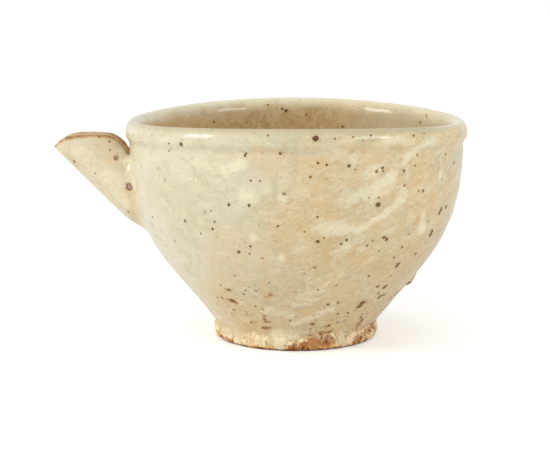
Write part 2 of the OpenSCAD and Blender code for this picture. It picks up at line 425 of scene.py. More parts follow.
def worn_edge(p):
    """Where the free edge of the spout is burnt brown through its glaze."""
    ragged = p.edge + (p.curds - 0.5) * 1.2 + (p.flecks - 0.5) * 0.9
    return ragged.smooth(0.5, 1.1) * p.edge.smooth(0, 0.2)


# %% Iron in the glaze
def iron_stains(p, colour):
    """Rusty stains, most of them low on the wall and where rust ran: the colour, and their share."""
    burnt = p.z.smooth(10, 28, 0.09, 0) * p.clouds.smooth(0.35, 0.6) * (1 - p.inner) + p.rust * 0.32
    stain = (p.flecks * 0.6 + p.curds * 0.4 + burnt).smooth(0.58, 0.78)
    colour = blend(p.rust * p.curds.smooth(0.3, 0.6) * 0.4, colour, peach)
    rusty = blend(p.grain.smooth(0.4, 0.6), iron_stain, iron_rust)
    return blend(stain * 0.8, colour, rusty), stain


def small_specks(p, colour, iron):
    """Dust of iron, pale crystals and fine brown specks."""
    dust = fine_specks(p.place, 1.2, 0.4)[0]
    colour = blend(dust * p.mottle.smooth(0.4, 0.55) * 0.45, colour, iron)
    crystals, sparkle = fine_specks(vectors("ADD", p.place, (40, 0, 0)), 1.7, 0.5)
    colour = blend(crystals * p.warmth * sparkle * 0.7, colour, slip_cream)
    fine, chance = fine_specks(p.place, 2.4, 0.85)
    fine = fine * (p.mottle + (chance - 0.5) * 0.4).smooth(0.42, 0.52)
    fine = fine * (1 - p.warm * 2) * p.warmth.smooth(0, 0.6, 0.35, 1)
    return blend(fine * 0.8, colour, blend(chance.smooth(0.7, 0.9), iron, iron_rust))


def from_kind(kind, first):
    """1 for this kind of speck and for those that come after it."""
    return kind.smooth(first - 0.6, first - 0.4)


def large_specks(p, colour, iron):
    """Large specks with a faint halo, and blisters with a pale middle: the colour, and their share."""
    far, kind = large_speck(p.place)
    colour = blend(far.smooth(0.8, 1.8, 0.4, 0), colour, sand)
    is_blister = from_kind(kind, BLISTER) * (1 - from_kind(kind, RUST))
    body = blend(from_kind(kind, RUST), blend(is_blister, iron, blister_ring), iron_rust)
    body = blend(from_kind(kind, RED), body, iron_red)
    body = blend(is_blister * far.smooth(0.35, 0.7, 0.85, 0), body, blister_pale)
    core = far.smooth(0.7, 1.05, 0.96, 0)
    return blend(core, colour, body), core


# %% One coat of ash glaze
def ash_glaze(tree):
    """Colour, roughness and height of the glaze, as wires."""
    p = patterns(tree)
    slip = brushed_slip(p)
    edge = worn_edge(p)
    iron = blend(p.inner.smooth(0.5, 0.8), iron_brown, iron_deep)
    colour = blend(slip * 0.85, ash_coat(p), slip_cream)
    colour = lip_and_inside(p, colour)
    colour = blend(p.hollow * p.curds.smooth(0.3, 0.6, 0.9, 0.5), colour, hollow_tan)
    colour = blend(p.edge.smooth(0.3, 0.5) * 0.55, colour, hollow_tan)
    colour = blend(edge * 0.8, colour, edge_brown)
    colour, stain = iron_stains(p, colour)
    colour = small_specks(p, colour, iron)
    colour, core = large_specks(p, colour, iron)
    roughness = p.flecks.smooth(0.3, 0.7, 0.3, 0.5) + core * 0.2 + edge * 0.2 + stain * 0.2
    height = p.flecks * 0.35 + p.curds * 0.6 + p.wiped * 0.4 + p.grain * 0.1 + slip * 0.3 - core * 0.3
    return colour, roughness, height


def finish(name, recipe, depth, glass):
    """A material from a recipe of wires: the height is its bump, and a skin of glass lies over it."""
    material = new_material(name)
    tree = material.node_tree
    colour, roughness, height = recipe(tree)
    bump = put(tree, "ShaderNodeBump", {"Height": height, "Strength": 0.6, "Distance": depth})
    feed(tree.nodes["Principled BSDF"], {
        "Base Color": colour, "Roughness": roughness, "Normal": bump, "IOR": 1.5, "Specular IOR Level": 0.2,
        "Coat Weight": glass, "Coat Roughness": 0.1, "Coat IOR": 1.5})
    print(f"{name}: {len(tree.nodes)} nodes")
    return material


glazed = finish("ash_glaze", ash_glaze, depth=0.25 * MM, glass=0.5)


# %% Bare clay with runs of glaze
def bare_clay(tree):
    """Colour, roughness and height of the unglazed foot, as wires."""
    place = in_millimetres(tree)
    level = split(place)[2]
    patches = noise(place, 6, 4.0, 0.65, 0.6)
    grit = noise(vectors("MULTIPLY", place, (1, 1, 0.6)), 1.6, 3.0, 0.7)
    crumbs = noise(vectors("ADD", place, (0, 0, 50)), 1.8, 3.0, 0.7)
    rust = attribute(tree, "rust")
    colour = blend(grit.smooth(0.38, 0.56), clay_tan, clay_cream)
    orange = crumbs + (patches - 0.5) * 0.5 + rust * 0.25 + level.smooth(0.5, 3.5, 0.16, -0.06)
    colour = blend(orange.smooth(0.54, 0.74) * 0.85, colour, clay_orange)
    rusty = rust * 1.3 + (crumbs - 0.5) * 1.5 + (patches - 0.5) * 1.5 + level.smooth(0.5, 2.2, 0.4, 0)
    red = blend(grit.smooth(0.36, 0.6), clay_rust, clay_warm)
    red = blend(patches.smooth(0.48, 0.62) * level.smooth(0.5, 4, 0.15, 0.65), red, clay_tan)
    red = blend(crumbs.smooth(0.4, 0.5, 0.5, 0), red, clay_dark)
    colour = blend(rusty.smooth(0.5, 1.1) * 0.9, colour, red)
    pits = grit - level.smooth(0.5, 2, 0.08, 0) - rust * 0.06
    colour = blend(pits.smooth(0.32, 0.4, 0.85, 0), colour, clay_dark)
    return colour, grit.smooth(0.2, 0.8, 0.55, 0.9), grit + patches * 0.5


def foot_finish(tree):
    """Glaze that ran down over the bare clay of the foot, and stopped at an uneven line, and painted shade
    along the lowest edge of the foot.
    """
    clay, clay_rough, clay_height = bare_clay(tree)
    glaze, glaze_rough, glaze_height = ash_glaze(tree)
    place = in_millimetres(tree)
    level = split(place)[2]
    runs = noise(vectors("MULTIPLY", place, (1, 1, 0.5)), 4, 4.0, 0.75)
    guided = attribute(tree, "slip") * 1.6 - attribute(tree, "rust")
    covered = (level * 0.2 + (runs - 0.5) * 3.2 + guided).smooth(0.7, 1.2)
    # Painted shade: the lowest edge of the foot, where it meets the table, is darkened to dark clay.
    bottom_edge_shade = (level + (runs - 0.5) * 1.5).smooth(0.3, 0.9, 0.85, 0)
    colour = blend(bottom_edge_shade, blend(covered, clay, glaze), clay_dark)
    roughness = clay_rough + (glaze_rough - clay_rough) * covered
    return colour, roughness, clay_height + (glaze_height + 1.2 - clay_height) * covered


clay_foot = finish("bare_clay", foot_finish, depth=0.3 * MM, glass=0.1)

# %% [markdown]
# ## The sizes of the pot
# The pot's outer sizes come from the CAD nodes' boxes. The others, which a box can't tell, are the CAD
# model's own values in millimetres, apart from a few: the inner floor is rounder here, the spout's crest
# lies a little higher and its keel is a little steeper, and the bead thins out more towards its top. The
# wall is one cubic curve from the foot to the neck, and everything that sits on the wall asks it for its
# radius.

# %% Sizes and the wall's curve
bowl_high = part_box("bowl")[1] / MM
foot_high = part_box("foot_ring")[1] / MM
height = round(bowl_high.z, 1)
rim_r = round(bowl_high.y, 1)
foot_r = round(foot_high.y, 1)
foot_h = round(foot_high.z, 1)

lip_thick = 5
neck_drop = 10
neck_inset = 1.4
wall = 5.4
floor_thick = 7
wall_angle = math.radians(53.5)
wall_flare = 29.5
wall_rise = 37
foot_w = 7
foot_spigot = 0.9
foot_ledge = 0.6
wall_samples = 2001


def bezier(points, t):
    """Points of a cubic curve."""
    a, b, c, d = (np.asarray(p, float) for p in points)
    t = np.asarray(t, float)[..., None]
    return (1 - t) ** 3 * a + 3 * (1 - t) ** 2 * t * b + 3 * (1 - t) * t ** 2 * c + t ** 3 * d


def slope(points, t):
    """Which way a cubic curve goes at its points."""
    a, b, c, d = (np.asarray(p, float) for p in points)
    t = np.asarray(t, float)[..., None]
    return 3 * (1 - t) ** 2 * (b - a) + 6 * (1 - t) * t * (c - b) + 3 * t ** 2 * (d - c)


def unit(v):
    """Vectors of length 1."""
    return v / np.linalg.norm(v, axis=-1, keepdims=True)


neck_z = height - neck_drop
lip_r = lip_thick / 2
neck = np.array([rim_r - neck_inset, neck_z])
base = np.array([foot_r - foot_ledge, foot_h])
flare = wall_flare * np.array([math.cos(wall_angle), math.sin(wall_angle)])
outer_curve = [base, base + flare, neck - [0, wall_rise], neck]
wall_line = bezier(outer_curve, np.linspace(0, 1, wall_samples))


def wall_r(z):
    """Radius of the outer wall at a height."""
    return np.interp(z, wall_line[:, 1], wall_line[:, 0])


print(f"Bowl {2 * rim_r} mm across and {height} mm high, foot {2 * foot_r} mm across")

# %% [markdown]
# ## The bowl
# A thrown bowl is a profile turned round an axis, so it is made as on the wheel: Geometry Nodes turn a
# drawn profile. A Screw modifier could do that too, but a node tree can add the hand: a rim that dips a
# little on two sides, a spiral of faint throwing rings, a groove under the lip where the rib was lifted,
# and a wall that is nowhere quite round. Near the spout and above the foot the rings, the groove and the
# unevenness fade, because other pieces seat there.

# %% Curves of the lip and the floor
roll_drop = 4.8
throat_rise = 1.4
throat_fullness = 2.5
crest_pull = 3.4
inner_pull = 7.5
floor_start = 0.24
floor_fullness = 0.7
floor_flat = 0.45

roll_z = height - roll_drop
roll_pull = (roll_z - neck_z - throat_rise) / throat_fullness
crest = np.array([rim_r - lip_r, height])
inner_neck = neck - [wall, 0]
throat = neck + [0, throat_rise]
outer_throat = [throat, throat + [0, roll_pull], [rim_r, roll_z - roll_pull], [rim_r, roll_z]]
inner_throat = [crest, crest - [crest_pull, 0], inner_neck + [0, inner_pull], inner_neck]
spigot_z = foot_h - foot_spigot
spigot_r = foot_r - foot_w
floor_z = spigot_z + floor_thick


def inside(t):
    """The inside of the wall, at the wall's thickness from the outer curve."""
    way = unit(slope(outer_curve, t))
    return bezier(outer_curve, t) + wall * np.stack([-way[..., 1], way[..., 0]], -1)


floor_edge = inside(floor_start)
floor_way = unit(slope(outer_curve, floor_start))
floor_pull = floor_fullness * (floor_edge[1] - floor_z) / floor_way[1]
floor_curve = [floor_edge, floor_edge - floor_way * floor_pull, [floor_edge[0] * floor_flat, floor_z],
               [0, floor_z]]
print(f"Inner floor {floor_z:.1f} mm above the table")

# %% Profile of the bowl
base_points = 8
spigot_points = 2
ledge_points = 4
wall_points = 84
throat_points = 12
lip_points = 9
inside_points = 62
bend_points = 20
pale_depth = 14


def run(start, end, count):
    """Evenly spaced values or points, without the last."""
    return np.linspace(start, end, count, endpoint=False)


outside_line = np.vstack([
    run([0, spigot_z], [spigot_r, spigot_z], base_points),
    run([spigot_r, spigot_z], [spigot_r, foot_h], spigot_points),
    run([spigot_r, foot_h], base, ledge_points),
    bezier(outer_curve, run(0, 1, wall_points)),
    run(neck, throat, ledge_points),
    bezier(outer_throat, run(0, 1, throat_points))])
lip_turn = run(0, math.pi / 2, lip_points)
lip_line = [rim_r - lip_r, roll_z] + np.stack([lip_r * np.cos(lip_turn), roll_drop * np.sin(lip_turn)], 1)
inside_line = np.vstack([
    bezier(inner_throat, run(0, 1, bend_points)),
    inside(run(1, floor_start, inside_points)),
    bezier(floor_curve, np.linspace(0, 1, bend_points))])
bowl_profile = np.vstack([outside_line, lip_line, inside_line])
far_inside = np.clip((height - inside_line[:, 1]) / pale_depth, 0, 1)
bowl_inner = np.concatenate([np.zeros(len(outside_line)), run(0, 0.5, lip_points), 0.5 + far_inside / 2])
print(f"Bowl profile of {len(bowl_profile)} points")


# %% Trees and pieces
def geometry_tree(name, **inputs):
    """An empty Geometry Nodes tree, and a wire for each of its inputs."""
    tree = bpy.data.node_groups.new(name, "GeometryNodeTree")
    tree.is_modifier = True
    tree.interface.new_socket("Geometry", in_out="OUTPUT", socket_type="NodeSocketGeometry")
    for label, kind in {"Geometry": "Geometry", **inputs}.items():
        tree.interface.new_socket(label, in_out="INPUT", socket_type="NodeSocket" + kind)
    group_input = tree.nodes.new("NodeGroupInput")
    return tree, {s.name: Wire(s) for s in group_input.outputs if s.name}


def close_tree(geometry, material):
    """Ends a tree as the export needs it: real, smooth meshes with their material."""
    tree = geometry.tree
    smooth = put(tree, "GeometryNodeSetShadeSmooth", {"Geometry": geometry})
    real = put(tree, "GeometryNodeRealizeInstances", {"Geometry": smooth})
    painted = put(tree, "GeometryNodeSetMaterial", {"Geometry": real, "Material": material})
    feed(tree.nodes.new("NodeGroupOutput"), {"Geometry": painted})
    print(f"{tree.name}: {len(tree.nodes)} nodes")


def grow(piece, tree, **values):
    """Runs a tree on a piece and keeps the result as its plain mesh."""
    modifier = piece.modifiers.new(tree.name, "NODES")
    modifier.node_group = tree
    for item in tree.interface.items_tree:
        if item.in_out == "INPUT" and item.name in values:
            modifier[item.identifier] = values[item.name]
    depsgraph = bpy.context.evaluated_depsgraph_get()
    mesh = bpy.data.meshes.new_from_object(
        piece.evaluated_get(depsgraph), preserve_all_data_layers=True, depsgraph=depsgraph)
    piece.modifiers.remove(modifier)
    piece.data = mesh
    mesh.name = piece.name
    print(f"{piece.name} after {tree.name}: {len(mesh.vertices)} points, {len(mesh.polygons)} faces")


def piece_of(name, points, faces=(), edges=(), **attributes):
    """A mesh object from points in millimetres, with its place in its mesh, and numbers for its points."""
    mesh = bpy.data.meshes.new(name)
    mesh.from_pydata([tuple(p) for p in np.asarray(points, float) * MM], edges, faces)
    mesh.shade_smooth()
    for label, values in attributes.items():
        data = mesh.attributes.new(label, "FLOAT", "POINT").data
        data.foreach_set("value", np.asarray(values, np.float32))
    piece = bpy.data.objects.new(name, mesh)
    scene.collection.objects.link(piece)
    return piece


def profile_piece(name, outline, inner):
    """A profile, drawn in the XZ plane, for the wheel to turn."""
    points = [(r, 0, z) for r, z in outline]
    return piece_of(name, points, edges=[(i, i + 1) for i in range(len(points) - 1)], inner=inner)


# %% Short words for Geometry Nodes
def position(tree):
    return put(tree, "GeometryNodeInputPosition", {})


def named(tree, label):
    """A number that the points of a mesh carry."""
    return put(tree, "GeometryNodeInputNamedAttribute", {"Name": label}, data_type="FLOAT")


def sample(geometry, value, index, data_type="FLOAT"):
    """What a value is at one point of a geometry."""
    feeds = {"Geometry": geometry, "Value": value, "Index": index}
    return put(geometry.tree, "GeometryNodeSampleIndex", feeds, data_type=data_type)


def store(geometry, name, value, data_type="FLOAT", domain="POINT"):
    """Gives a geometry an attribute."""
    feeds = {"Geometry": geometry, "Name": name, "Value": value}
    return put(geometry.tree, "GeometryNodeStoreNamedAttribute", feeds, data_type=data_type, domain=domain)


def move(geometry, **feeds):
    """Moves points to a Position or by an Offset."""
    return put(geometry.tree, "GeometryNodeSetPosition", {"Geometry": geometry, **feeds})


def shape_of(thing):
    """The geometry of an object."""
    return put(thing.tree, "GeometryNodeObjectInfo", {"Object": thing}, "Geometry")


# %% The wheel
wheel, wheel_in = geometry_tree(
    "Wheel", Steps="Int", Saddle="Float", SaddleLow="Float", SaddleHigh="Float", Wobble="Float",
    WobbleSize="Float", RingDepth="Float", RingPitch="Float", GrooveDepth="Float", GrooveHeight="Float",
    SteadyLow="Float", SteadyHigh="Float", SteadyPoint="Vector", SteadyRadius="Float", Glaze="Material")
drawn = wheel_in["Geometry"]
rings = put(wheel, "GeometryNodeAttributeDomainSize", {"Geometry": drawn}, "Point Count")
grid = put(wheel, "GeometryNodeMeshGrid", {
    "Size X": 2 * math.pi, "Size Y": 1.0, "Vertices X": wheel_in["Steps"] + 1, "Vertices Y": rings})
cell = position(wheel)
angle, down_profile = split(cell)[:2]
ring = (down_profile + 0.5) * (rings - 1) + 0.5
radius, level = split(sample(drawn, cell, ring, "FLOAT_VECTOR"))[::2]
inner_here = sample(drawn, named(wheel, "inner"), ring)

# %% The hand of the potter
mean_r = 0.8 * rim_r * MM
groove_half = 2.4 * MM
steady_fade = 1.5
weld = 0.001 * MM

turn_cos = maths("COSINE", angle)
turn_sin = maths("SINE", angle)
lumps = noise(join(turn_cos * mean_r, turn_sin * mean_r, level), wheel_in["WobbleSize"])
spiral = maths("SINE", level * (2 * math.pi) / wheel_in["RingPitch"] - angle) * wheel_in["RingDepth"]
spiral = spiral * inner_here.smooth(0, 1, 1, 0.3)
groove = maths("ABSOLUTE", level - wheel_in["GrooveHeight"]).smooth(0, groove_half, 1, 0)
groove = groove * inner_here.smooth(0, 0.1, 1, 0) * wheel_in["GrooveDepth"]
thrown = join(turn_cos * radius, turn_sin * radius, level)
from_spout = vectors("DISTANCE", thrown, wheel_in["SteadyPoint"], out="Value")
steady = from_spout.smooth(wheel_in["SteadyRadius"], wheel_in["SteadyRadius"] * steady_fade)
steady = steady * level.smooth(wheel_in["SteadyLow"], wheel_in["SteadyHigh"])
steady = steady * radius.smooth(0, mean_r / 2)
wide = radius + ((lumps - 0.5) * 2 * wheel_in["Wobble"] + spiral - groove) * steady
dip = turn_cos * turn_cos * level.smooth(wheel_in["SaddleLow"], wheel_in["SaddleHigh"]) * wheel_in["Saddle"]
sheet = store(grid, "inner", inner_here)
placed = move(sheet, Position=join(turn_cos * wide, turn_sin * wide, level - dip))
closed = put(wheel, "GeometryNodeMergeByDistance", {"Geometry": placed, "Distance": weld})
close_tree(closed, wheel_in["Glaze"])

# %% The pouring hole
drill_sides = 72
drill_rings = 30
soften_steps = 6

hole, hole_in = geometry_tree("Pouring hole", Diameter="Float", Level="Float", Start="Float", End="Float",
                              Soft="Float", Glaze="Material")
drill_r = hole_in["Diameter"] / 2
drill = put(hole, "GeometryNodeMeshCylinder", {
    "Vertices": drill_sides, "Side Segments": drill_rings, "Radius": drill_r,
    "Depth": hole_in["End"] - hole_in["Start"]}, "Mesh")
drill = put(hole, "GeometryNodeTransform", {
    "Geometry": drill, "Rotation": (0, math.pi / 2, 0),
    "Translation": join((hole_in["Start"] + hole_in["End"]) / 2, 0.0, hole_in["Level"])})
drilled = put(hole, "GeometryNodeMeshBoolean", {0: hole_in["Geometry"], 1: store(drill, "inner", 1.0)},
              operation="DIFFERENCE", solver="MANIFOLD")
cut = position(hole)
cut_x, cut_y, cut_z = split(cut)
off_axis = vectors("LENGTH", join(0.0, cut_y, cut_z - hole_in["Level"]), out="Value")
off_edge = maths("ABSOLUTE", off_axis - drill_r) / hole_in["Soft"]
on_edge = off_edge.smooth(0.4, 1, 1, 0) * cut_x.smooth(hole_in["End"], hole_in["End"] + MM, 1, 0)
softened = put(hole, "GeometryNodeBlurAttribute", {
    "Value": cut, "Iterations": soften_steps, "Weight": on_edge}, data_type="FLOAT_VECTOR")
close_tree(move(drilled, Position=softened), hole_in["Glaze"])

# %% Throw the bowl
round_steps = 420
spout_middle = (-60 * MM, 0, 52 * MM)
bowl = profile_piece("bowl_thrown", bowl_profile, bowl_inner)
grow(bowl, wheel, Steps=round_steps, Saddle=2.5 * MM, SaddleLow=50 * MM, SaddleHigh=neck_z * MM,
     Wobble=0.5 * MM, WobbleSize=38 * MM, RingDepth=0.05 * MM, RingPitch=9 * MM, GrooveDepth=0.15 * MM,
     GrooveHeight=75 * MM, SteadyLow=foot_h * MM, SteadyHigh=(foot_h + 9) * MM, SteadyPoint=spout_middle,
     SteadyRadius=25 * MM, Glaze=glazed)

# %% Drill the pouring hole
hole_d = 15
hole_z = 56.4
grow(bowl, hole, Diameter=hole_d * MM, Level=hole_z * MM, Start=-rim_r * MM, End=-foot_r * MM, Soft=1.5 * MM,
     Glaze=glazed)

# %% [markdown]
# ## The spout
# The spout is a slab of clay folded into an open trough and cut to the bowl. Its side view has three
# lines: a straight keel that turns in at the heel, a crest that arches and comes down to the tip, and the
# wall it grows from. Across, the section closes like a hand towards the bowl and opens towards the tip. A
# loft of these sections, worked out with numpy, follows the CAD model's own formulas at a finer step, and
# its free edge is rounded over from one skin to the other. The hand set it on with a slight roll, so that
# its near edge stands a little higher than its far one.

# %% Side view of the spout
spout_reach = 89
tip_drop = 12.9
crest_drop = 7.6
crest_reach = 75
crest_fall = 3.6
crest_rise = 3.9
back_drop = 16
heel_drop = 44.3
keel_angle = math.radians(45.5)
heel_angle = math.radians(26)
keel_blend = 1.5
spout_wall = 3.8
edge_round = 0.8

tip_z = height - tip_drop
crest_z = height - crest_drop - edge_round
heel_z = height - heel_drop
back_z = height - back_drop
back_reach = wall_r(back_z)
heel_reach = wall_r(heel_z)
keel_wall = spout_wall / math.cos(keel_angle)


def keel(u):
    """Height of the keel at a reach: two straight lines, blended where they meet."""
    front = tip_z - (spout_reach - u) * math.tan(keel_angle)
    heel = heel_z + (u - heel_reach) * math.tan(heel_angle)
    return (front + heel + np.hypot(front - heel, keel_blend)) / 2


def spout_crest(u):
    """Height of the side walls at a reach."""
    past = np.maximum(0, u - crest_reach) / (spout_reach - crest_reach)
    short = np.clip((crest_reach - u) / (crest_reach - back_reach), 0, 1)
    front = crest_z - (crest_z - tip_z) * past ** crest_fall
    return np.where(u > crest_reach, front, crest_z - (crest_z - back_z) * short ** crest_rise)


print(f"Spout from {heel_reach:.1f} mm at the heel to {spout_reach} mm at the tip")

# %% Sections of the spout
root_half_w = 14
tip_half_w = 5.2
least_half_w = 0.3
root_wrap = math.radians(150)
tip_wrap = math.radians(100)
nose_l = 5
spout_roll = math.radians(6)
tip_rise = 0.5
halvings = 40


def mix(a, b, t):
    return a + (b - a) * t


def trough(u, side, inset):
    """A point of the trough: side runs from -1 to 1 across it, and inset is 0 outside and 1 inside."""
    share = (u - back_reach) / (spout_reach - back_reach)
    nose = np.sqrt(np.maximum(0, 1 - (np.maximum(0, u - spout_reach + nose_l) / nose_l) ** 2))
    half = np.maximum(least_half_w, (mix(root_half_w, tip_half_w, share) - inset * spout_wall) * nose)
    wrap = mix(root_wrap, tip_wrap, share)
    low = keel(u) + inset * keel_wall
    rise = (spout_crest(u) - low) / (1 - np.cos(wrap))
    y = half * np.sin(side * wrap)
    rolled = y * math.tan(spout_roll) * (1 - share)
    return np.stack([-u, y, low + rise * (1 - np.cos(side * wrap)) - rolled], -1)


def halve(low, high, below):
    """Where a test stops being true, found by halving."""
    for _ in range(halvings):
        middle = (low + high) / 2
        under = below(middle)
        low = np.where(under, middle, low)
        high = np.where(under, high, middle)
    return (low + high) / 2


def root_reach(side, inset):
    """Where the trough meets the wall of the bowl."""
    def in_wall(u):
        p = trough(u, side, inset)
        return np.hypot(p[..., 0], p[..., 1]) < wall_r(p[..., 2])
    return halve(np.zeros_like(side), np.full_like(side, spout_reach), in_wall)


def tip_reach(inset):
    """Where the side walls have come down to the keel."""
    def above_keel(u):
        return spout_crest(u) - keel(u) - inset * keel_wall > tip_rise
    return float(halve(crest_reach, spout_reach, above_keel))


# %% Skins and edges of the spout
root_sink = 1.2
spout_steps = 110
wrap_steps = 130
edge_steps = 10
lift_fade = 4
along_spout = np.linspace(0, 1, spout_steps + 1)
spout_shares = np.sin(np.radians(90) * along_spout)[:, None]
spout_sides = np.linspace(1, -1, wrap_steps + 1)


def trough_grid(inset):
    reach = root_reach(spout_sides, inset) - root_sink
    return trough(mix(reach, tip_reach(inset), spout_shares), spout_sides, inset)


outer_skin = trough_grid(0.0)
inner_skin = trough_grid(1.0)
edge_lift = edge_round * (1 - along_spout ** lift_fade)
edge_turn = np.linspace(0, np.pi, edge_steps + 2)[1:-1]


def edge_round_over(start, end):
    """The rounding from one skin to the other along a free edge, which runs out towards the tip."""
    middle, half = (start + end) / 2, (start - end) / 2
    edge = middle[:, None] + half[:, None] * np.cos(edge_turn)[:, None]
    edge[..., 2] += edge_lift[:, None] * np.sin(edge_turn)
    return edge


def round_spout(near_edge, outer, far_edge, inner):
    """What goes round the trough, from the top of the near edge over the outside and back by the inside."""
    half = edge_steps // 2
    return np.concatenate([near_edge[:, half:], outer, far_edge, inner[:, ::-1], near_edge[:, :half]], 1)


spout_rings = round_spout(edge_round_over(inner_skin[:, 0], outer_skin[:, 0]), outer_skin,
                          edge_round_over(outer_skin[:, -1], inner_skin[:, -1]), inner_skin)
spout_rows, spout_around = spout_rings.shape[:2]
print(f"{spout_rows} sections of {spout_around} points")

# %% Loft of the spout
worn_w = 1.9
edge_least = 0.45
root_warm = 0.3


def ring_faces(count, around):
    """Quads between each closed ring of points and the next."""
    k = np.arange(around)
    after = (k + 1) % around
    quads = np.stack([k, after, after + around, k + around], 1)
    return (quads + around * np.arange(count - 1)[:, None, None]).reshape(-1, 4).tolist()


def loft_faces(count, around):
    """Quads between closed rings, and a strip of quads over each end."""
    faces = ring_faces(count, around)
    for first, order in ((0, -1), ((count - 1) * around, 1)):
        for j in range(around // 2 - 1):
            strip = [first + j, first + j + 1, first + around - 2 - j, first + around - 1 - j]
            faces.append(strip[::order])
    return faces


def worn_band(skin):
    """1 at both free edges of a skin, and 0 where it is further than the worn band is wide."""
    gaps = [np.linalg.norm(skin - skin[:, side, None], axis=2) for side in (0, -1)]
    return np.clip(1 - np.minimum(*gaps) / worn_w, 0, 1)


edge_share = np.tile(mix(edge_least, 1, np.cos(edge_turn) ** 2), (spout_rows, 1))
edge_mark = round_spout(edge_share, worn_band(outer_skin), edge_share, worn_band(inner_skin))
no_edge = np.zeros((spout_rows, edge_steps))
no_skin = np.zeros((spout_rows, wrap_steps + 1))
hollow_mark = round_spout(no_edge, no_skin, no_edge, no_skin + 1)
spout = piece_of("spout_folded", spout_rings.reshape(-1, 3), loft_faces(spout_rows, spout_around),
                 edge=edge_mark.ravel(), hollow=hollow_mark.ravel(),
                 warm=np.full(spout_rows * spout_around, root_warm))
print(f"Spout of {len(spout.data.polygons)} faces, its tip at x = {spout_rings[..., 0].min():.1f} mm")

# %% [markdown]
# ## The seam and the bead
# A coil of soft clay was pressed into the corner between spout and bowl and smoothed with a wet finger.
# What is left is a fillet that runs out into both. It dips just under the wall and the spout at its
# borders, so that no line shows. The bead is a drop of glaze that ran and froze low on the wall.

# %% Seam
seam_w = 4.6
seam_least = 0.4
seam_fade = 14
seam_dip = 0.22
seam_sink = 1.2
seam_steps = 200
fillet_steps = 12
seam_sides = np.linspace(-1, 1, seam_steps + 1)


def unrolled(p):
    """Distance round the bowl, and height, of places near the wall."""
    return np.stack([wall_r(p[..., 2]) * np.arctan2(p[..., 1], -p[..., 0]), p[..., 2]], -1)


def on_wall(q, sunk=0.0):
    """A place on the wall, from its distance round the bowl and its height."""
    r = wall_r(q[..., 1])
    turn = q[..., 0] / r
    return np.stack([-(r - sunk) * np.cos(turn), (r - sunk) * np.sin(turn), q[..., 1]], -1)


corner_reach = root_reach(seam_sides, 0.0)
corner = trough(corner_reach, seam_sides, 0.0)
seam_size = mix(seam_least, seam_w, 1 - np.abs(seam_sides) ** seam_fade)
corner_way = unit(np.gradient(unrolled(corner), axis=0))
from_corner = np.stack([corner_way[:, 1], -corner_way[:, 0]], 1)
seam_foot = on_wall(unrolled(corner) + seam_size[:, None] * from_corner, seam_dip)
seam_head = trough(corner_reach + seam_size, seam_sides, 0.0)
core_z = np.full_like(seam_sides, (back_z + heel_z) / 2)
spout_core = np.stack([seam_head[:, 0], np.zeros_like(seam_sides), core_z], 1)
seam_head = seam_head + seam_dip * unit(spout_core - seam_head)
up_fillet = np.linspace(0, 1, fillet_steps + 1)[:, None]
fillet = mix(mix(seam_foot[:, None], corner[:, None], up_fillet),
             mix(corner[:, None], seam_head[:, None], up_fillet), up_fillet)
hidden = corner + seam_sink * unit(spout_core - corner) + [seam_sink, 0, 0]
seam_rings = np.concatenate([hidden[:, None], fillet], 1)
seam_rows, seam_around = seam_rings.shape[:2]
seam = piece_of("spout_seam_coil", seam_rings.reshape(-1, 3), loft_faces(seam_rows, seam_around),
                warm=np.full(seam_rows * seam_around, root_warm))
print(f"Seam of {len(seam.data.polygons)} faces")

# %% Bead of run glaze
bead_l = 9
bead_d = 6.4
bead_proud = 1.9
bead_z = 22.5
bead_azimuth = math.radians(-8)
bead_sink = 0.35
bead_narrow = 0.7
bead_dome = 0.7
bead_thin = 0.2
bead_rings = 18
bead_sides = 48
wall_way = unit(np.gradient(wall_line, axis=0))


def wall_normal(z):
    """Which way the wall faces at a height, outwards and upwards."""
    return np.stack([np.interp(z, wall_line[:, 1], wall_way[:, 1]),
                     -np.interp(z, wall_line[:, 1], wall_way[:, 0])], -1)


def bead_point(up, across, out):
    """A place on the bead: up it as a share of its half, round the wall and out of it in millimetres."""
    z = bead_z + bead_l / 2 * up * wall_normal(bead_z)[0]
    n = wall_normal(z)
    turn = np.pi - bead_azimuth + across / wall_r(z)
    r = wall_r(z) + out * n[..., 0]
    return np.stack([-r * np.cos(turn), r * np.sin(turn), z + out * n[..., 1]], -1)


spread = np.linspace(1, 0, bead_rings + 1)[:-1, None]
clock = run(0, 2 * np.pi, bead_sides)
up_bead = spread * np.cos(clock)
to_top = (up_bead + 1) / 2
bead_across = bead_d / 2 * spread * np.sin(clock) * mix(1, bead_narrow, to_top)
bead_out = (1 - spread ** 2) ** bead_dome * mix(1, bead_thin, to_top)
crown = bead_point(up_bead, bead_across, mix(-bead_sink, bead_proud, bead_out))
middle_out = np.array([mix(-bead_sink, bead_proud, (1 + bead_thin) / 2), -2 * bead_sink])
bead_points = np.vstack([crown.reshape(-1, 3), bead_point(np.zeros(2), np.zeros(2), middle_out)])
bead_faces = ring_faces(bead_rings, bead_sides)
last_ring = (bead_rings - 1) * bead_sides
steps_round = [(k, (k + 1) % bead_sides) for k in range(bead_sides)]
bead_faces += [[last_ring + k, last_ring + after, len(bead_points) - 2] for k, after in steps_round]
bead_faces += [[after, k, len(bead_points) - 1] for k, after in steps_round]
bead = piece_of("glaze_bead_run", bead_points, bead_faces)
print(f"Bead of {len(bead.data.polygons)} faces")

# %% [markdown]
# ## The foot
# The foot ring was turned and luted under the bowl. Its profile is a closed outline, so the same wheel
# makes it, with a rougher hand: the clay is coarse there, and the edge is worn. A thin skirt of clay
# covers the joint with the bowl and draws in a little where they meet.

# %% Profile of the foot ring
foot_bevel = 1.8
foot_draft = 0.8
foot_step = 0.3
skirt_h = 2.6
skirt_dip = 0.2
skirt_drop = 2.2
skirt_points = 16
crease_in = 1.3
crease_drop = 0.4


